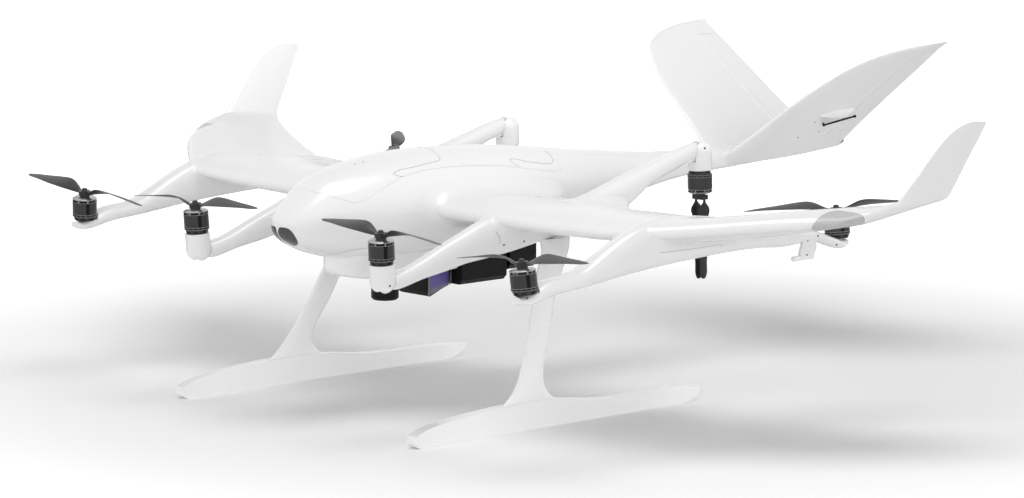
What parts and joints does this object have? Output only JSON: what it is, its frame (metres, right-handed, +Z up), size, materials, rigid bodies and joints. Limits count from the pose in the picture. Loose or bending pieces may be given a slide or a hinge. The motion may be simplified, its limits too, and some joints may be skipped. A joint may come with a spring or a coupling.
{
  "type": "delivery drone",
  "caption": "White delivery aircraft that rises on rotors: swept wing with winglets, V tail, tilting inner rotors, belly cargo boxes and two skids",
  "frame": {"origin": "on the ground, below the middle of the bounding box", "axes": "+X to the aircraft's own left wing tip, +Y from nose to tail, +Z up"},
  "size_m": [1.9822, 1.6006, 0.6688],
  "materials": {
    "white_paint": "gloss white paint on moulded composite",
    "module_black": "satin black",
    "module_mixed": "black, grey and a violet band",
    "can_grey": "satin dark grey",
    "motor_metal": "dark anodised, bright turned edges",
    "blade_black": "satin carbon-filled plastic",
    "battery_grey": "matt grey",
    "window_glass": "tinted grey",
    "cap_grey": "satin dark grey",
    "lens_grey": "frosted clear lens",
    "hardware": "blackened steel"
  },
  "bodies": {
    "airframe": {"airspeed_probe": "white_paint", "battery_block": "battery_grey", "belly_tray": "white_paint", "cargo_boxes": "module_black", "cargo_module": "module_mixed", "fin_left": "white_paint", "fin_right": "white_paint", "front_arm_left": "white_paint", "front_arm_right": "white_paint", "fuselage_shell": "white_paint", "landing_gear_left": "white_paint", "landing_gear_right": "white_paint", "nose_window_left": "window_glass", "nose_window_right": "window_glass", "outer_boom_left": "white_paint", "outer_boom_right": "white_paint", "outer_motor_bases": "motor_metal", "position_lights": "lens_grey", "push_rods": "hardware", "rear_arm_left": "white_paint", "rear_arm_right": "white_paint", "sensor_can": "can_grey", "servo_covers": "white_paint", "tail_cap": "cap_grey", "wing_left": "white_paint", "wing_right": "white_paint"},
    "pod_front_inner_left": {"pod_front_inner_left": "white_paint", "motor_base_front_inner_left": "motor_metal"},
    "pod_rear_inner_left": {"pod_rear_inner_left": "white_paint", "motor_base_rear_inner_left": "motor_metal"},
    "rotor_front_outer_left": {"bell_front_outer_left": "motor_metal", "propeller_front_outer_left": "blade_black"},
    "rotor_front_inner_left": {"bell_front_inner_left": "motor_metal", "propeller_front_inner_left": "blade_black"},
    "rotor_rear_outer_left": {"bell_rear_outer_left": "motor_metal", "propeller_rear_outer_left": "blade_black"},
    "rotor_rear_inner_left": {"bell_rear_inner_left": "motor_metal", "fold_hub_left": "motor_metal"},
    "blade_left_a": {"blade_left_a": "blade_black"},
    "blade_left_b": {"blade_left_b": "blade_black"},
    "aileron_left": {"aileron_left": "white_paint"},
    "ruddervator_left": {"ruddervator_left": "white_paint"},
    "pod_front_inner_right": {"pod_front_inner_right": "white_paint", "motor_base_front_inner_right": "motor_metal"},
    "pod_rear_inner_right": {"pod_rear_inner_right": "white_paint", "motor_base_rear_inner_right": "motor_metal"},
    "rotor_front_outer_right": {"bell_front_outer_right": "motor_metal", "propeller_front_outer_right": "blade_black"},
    "rotor_front_inner_right": {"bell_front_inner_right": "motor_metal", "propeller_front_inner_right": "blade_black"},
    "rotor_rear_outer_right": {"bell_rear_outer_right": "motor_metal", "propeller_rear_outer_right": "blade_black"},
    "rotor_rear_inner_right": {"bell_rear_inner_right": "motor_metal", "fold_hub_right": "motor_metal"},
    "blade_right_a": {"blade_right_a": "blade_black"},
    "blade_right_b": {"blade_right_b": "blade_black"},
    "aileron_right": {"aileron_right": "white_paint"},
    "ruddervator_right": {"ruddervator_right": "white_paint"},
    "front_lid": {"front_lid": "white_paint"},
    "rear_lid": {"rear_lid": "white_paint"}
  },
  "joints": [
    {"name": "front_lid_lift", "type": "slide", "parent": "airframe", "child": "front_lid", "axis": [0, 0, 1], "range_m": [0, 0.12]},
    {"name": "rear_lid_lift", "type": "slide", "parent": "airframe", "child": "rear_lid", "axis": [0, 0, 1], "range_m": [0, 0.12]},
    {"name": "aileron_left_hinge", "type": "hinge", "parent": "airframe", "child": "aileron_left", "pos_m": [0.4595, -0.202, 0.3929], "axis": [0.9997, 0, 0.0249], "range_deg": [-20, 20]},
    {"name": "ruddervator_left_hinge", "type": "hinge", "parent": "airframe", "child": "ruddervator_left", "pos_m": [0.19392, 0.668, 0.5506], "axis": [0.7997, 0, 0.6004], "range_deg": [-25, 25]},
    {"name": "tilt_front_inner_left", "type": "hinge", "parent": "airframe", "child": "pod_front_inner_left", "pos_m": [0.271, -0.771, 0.309], "axis": [0.9998, 0, -0.0209], "range_deg": [0, 86]},
    {"name": "tilt_rear_inner_left", "type": "hinge", "parent": "airframe", "child": "pod_rear_inner_left", "pos_m": [0.279, 0.066, 0.4835], "axis": [1, 0, 0], "range_deg": [0, 86]},
    {"name": "spin_front_inner_left", "type": "hinge", "parent": "pod_front_inner_left", "child": "rotor_front_inner_left", "pos_m": [0.271, -0.771, 0.309], "axis": [0.0209, -0.068, 0.9975], "continuous": true},
    {"name": "spin_rear_inner_left", "type": "hinge", "parent": "pod_rear_inner_left", "child": "rotor_rear_inner_left", "pos_m": [0.279, 0.066, 0.4835], "axis": [0, -0.0384, 0.9993], "continuous": true},
    {"name": "spin_front_outer_left", "type": "hinge", "parent": "airframe", "child": "rotor_front_outer_left", "pos_m": [0.646, -0.762, 0.3275], "axis": [-0.0904, -0.0715, 0.9933], "continuous": true},
    {"name": "spin_rear_outer_left", "type": "hinge", "parent": "airframe", "child": "rotor_rear_outer_left", "pos_m": [0.646, 0.072, 0.35], "axis": [-0.0906, 0, 0.9959], "continuous": true},
    {"name": "fold_left_a", "type": "hinge", "parent": "rotor_rear_inner_left", "child": "blade_left_a", "pos_m": [0.29, 0.06946, 0.39347], "axis": [0, -0.9993, -0.0384], "range_deg": [0, 90]},
    {"name": "fold_left_b", "type": "hinge", "parent": "rotor_rear_inner_left", "child": "blade_left_b", "pos_m": [0.268, 0.06946, 0.39347], "axis": [0, 0.9993, 0.0384], "range_deg": [0, 90]},
    {"name": "aileron_right_hinge", "type": "hinge", "parent": "airframe", "child": "aileron_right", "pos_m": [-0.4595, -0.202, 0.3929], "axis": [0.9997, 0, -0.0249], "range_deg": [-20, 20]},
    {"name": "ruddervator_right_hinge", "type": "hinge", "parent": "airframe", "child": "ruddervator_right", "pos_m": [-0.19392, 0.668, 0.5506], "axis": [0.7997, 0, -0.6004], "range_deg": [-25, 25]},
    {"name": "tilt_front_inner_right", "type": "hinge", "parent": "airframe", "child": "pod_front_inner_right", "pos_m": [-0.271, -0.771, 0.309], "axis": [0.9998, 0, 0.0209], "range_deg": [0, 86]},
    {"name": "tilt_rear_inner_right", "type": "hinge", "parent": "airframe", "child": "pod_rear_inner_right", "pos_m": [-0.279, 0.066, 0.4835], "axis": [1, 0, 0], "range_deg": [0, 86]},
    {"name": "spin_front_inner_right", "type": "hinge", "parent": "pod_front_inner_right", "child": "rotor_front_inner_right", "pos_m": [-0.271, -0.771, 0.309], "axis": [-0.0209, -0.068, 0.9975], "continuous": true},
    {"name": "spin_rear_inner_right", "type": "hinge", "parent": "pod_rear_inner_right", "child": "rotor_rear_inner_right", "pos_m": [-0.279, 0.066, 0.4835], "axis": [0, -0.0384, 0.9993], "continuous": true},
    {"name": "spin_front_outer_right", "type": "hinge", "parent": "airframe", "child": "rotor_front_outer_right", "pos_m": [-0.646, -0.762, 0.3275], "axis": [0.0904, -0.0715, 0.9933], "continuous": true},
    {"name": "spin_rear_outer_right", "type": "hinge", "parent": "airframe", "child": "rotor_rear_outer_right", "pos_m": [-0.646, 0.072, 0.35], "axis": [0.0906, 0, 0.9959], "continuous": true},
    {"name": "fold_right_a", "type": "hinge", "parent": "rotor_rear_inner_right", "child": "blade_right_a", "pos_m": [-0.268, 0.06946, 0.39347], "axis": [0, -0.9993, -0.0384], "range_deg": [0, 90]},
    {"name": "fold_right_b", "type": "hinge", "parent": "rotor_rear_inner_right", "child": "blade_right_b", "pos_m": [-0.29, 0.06946, 0.39347], "axis": [0, 0.9993, 0.0384], "range_deg": [0, 90]}
  ]
}
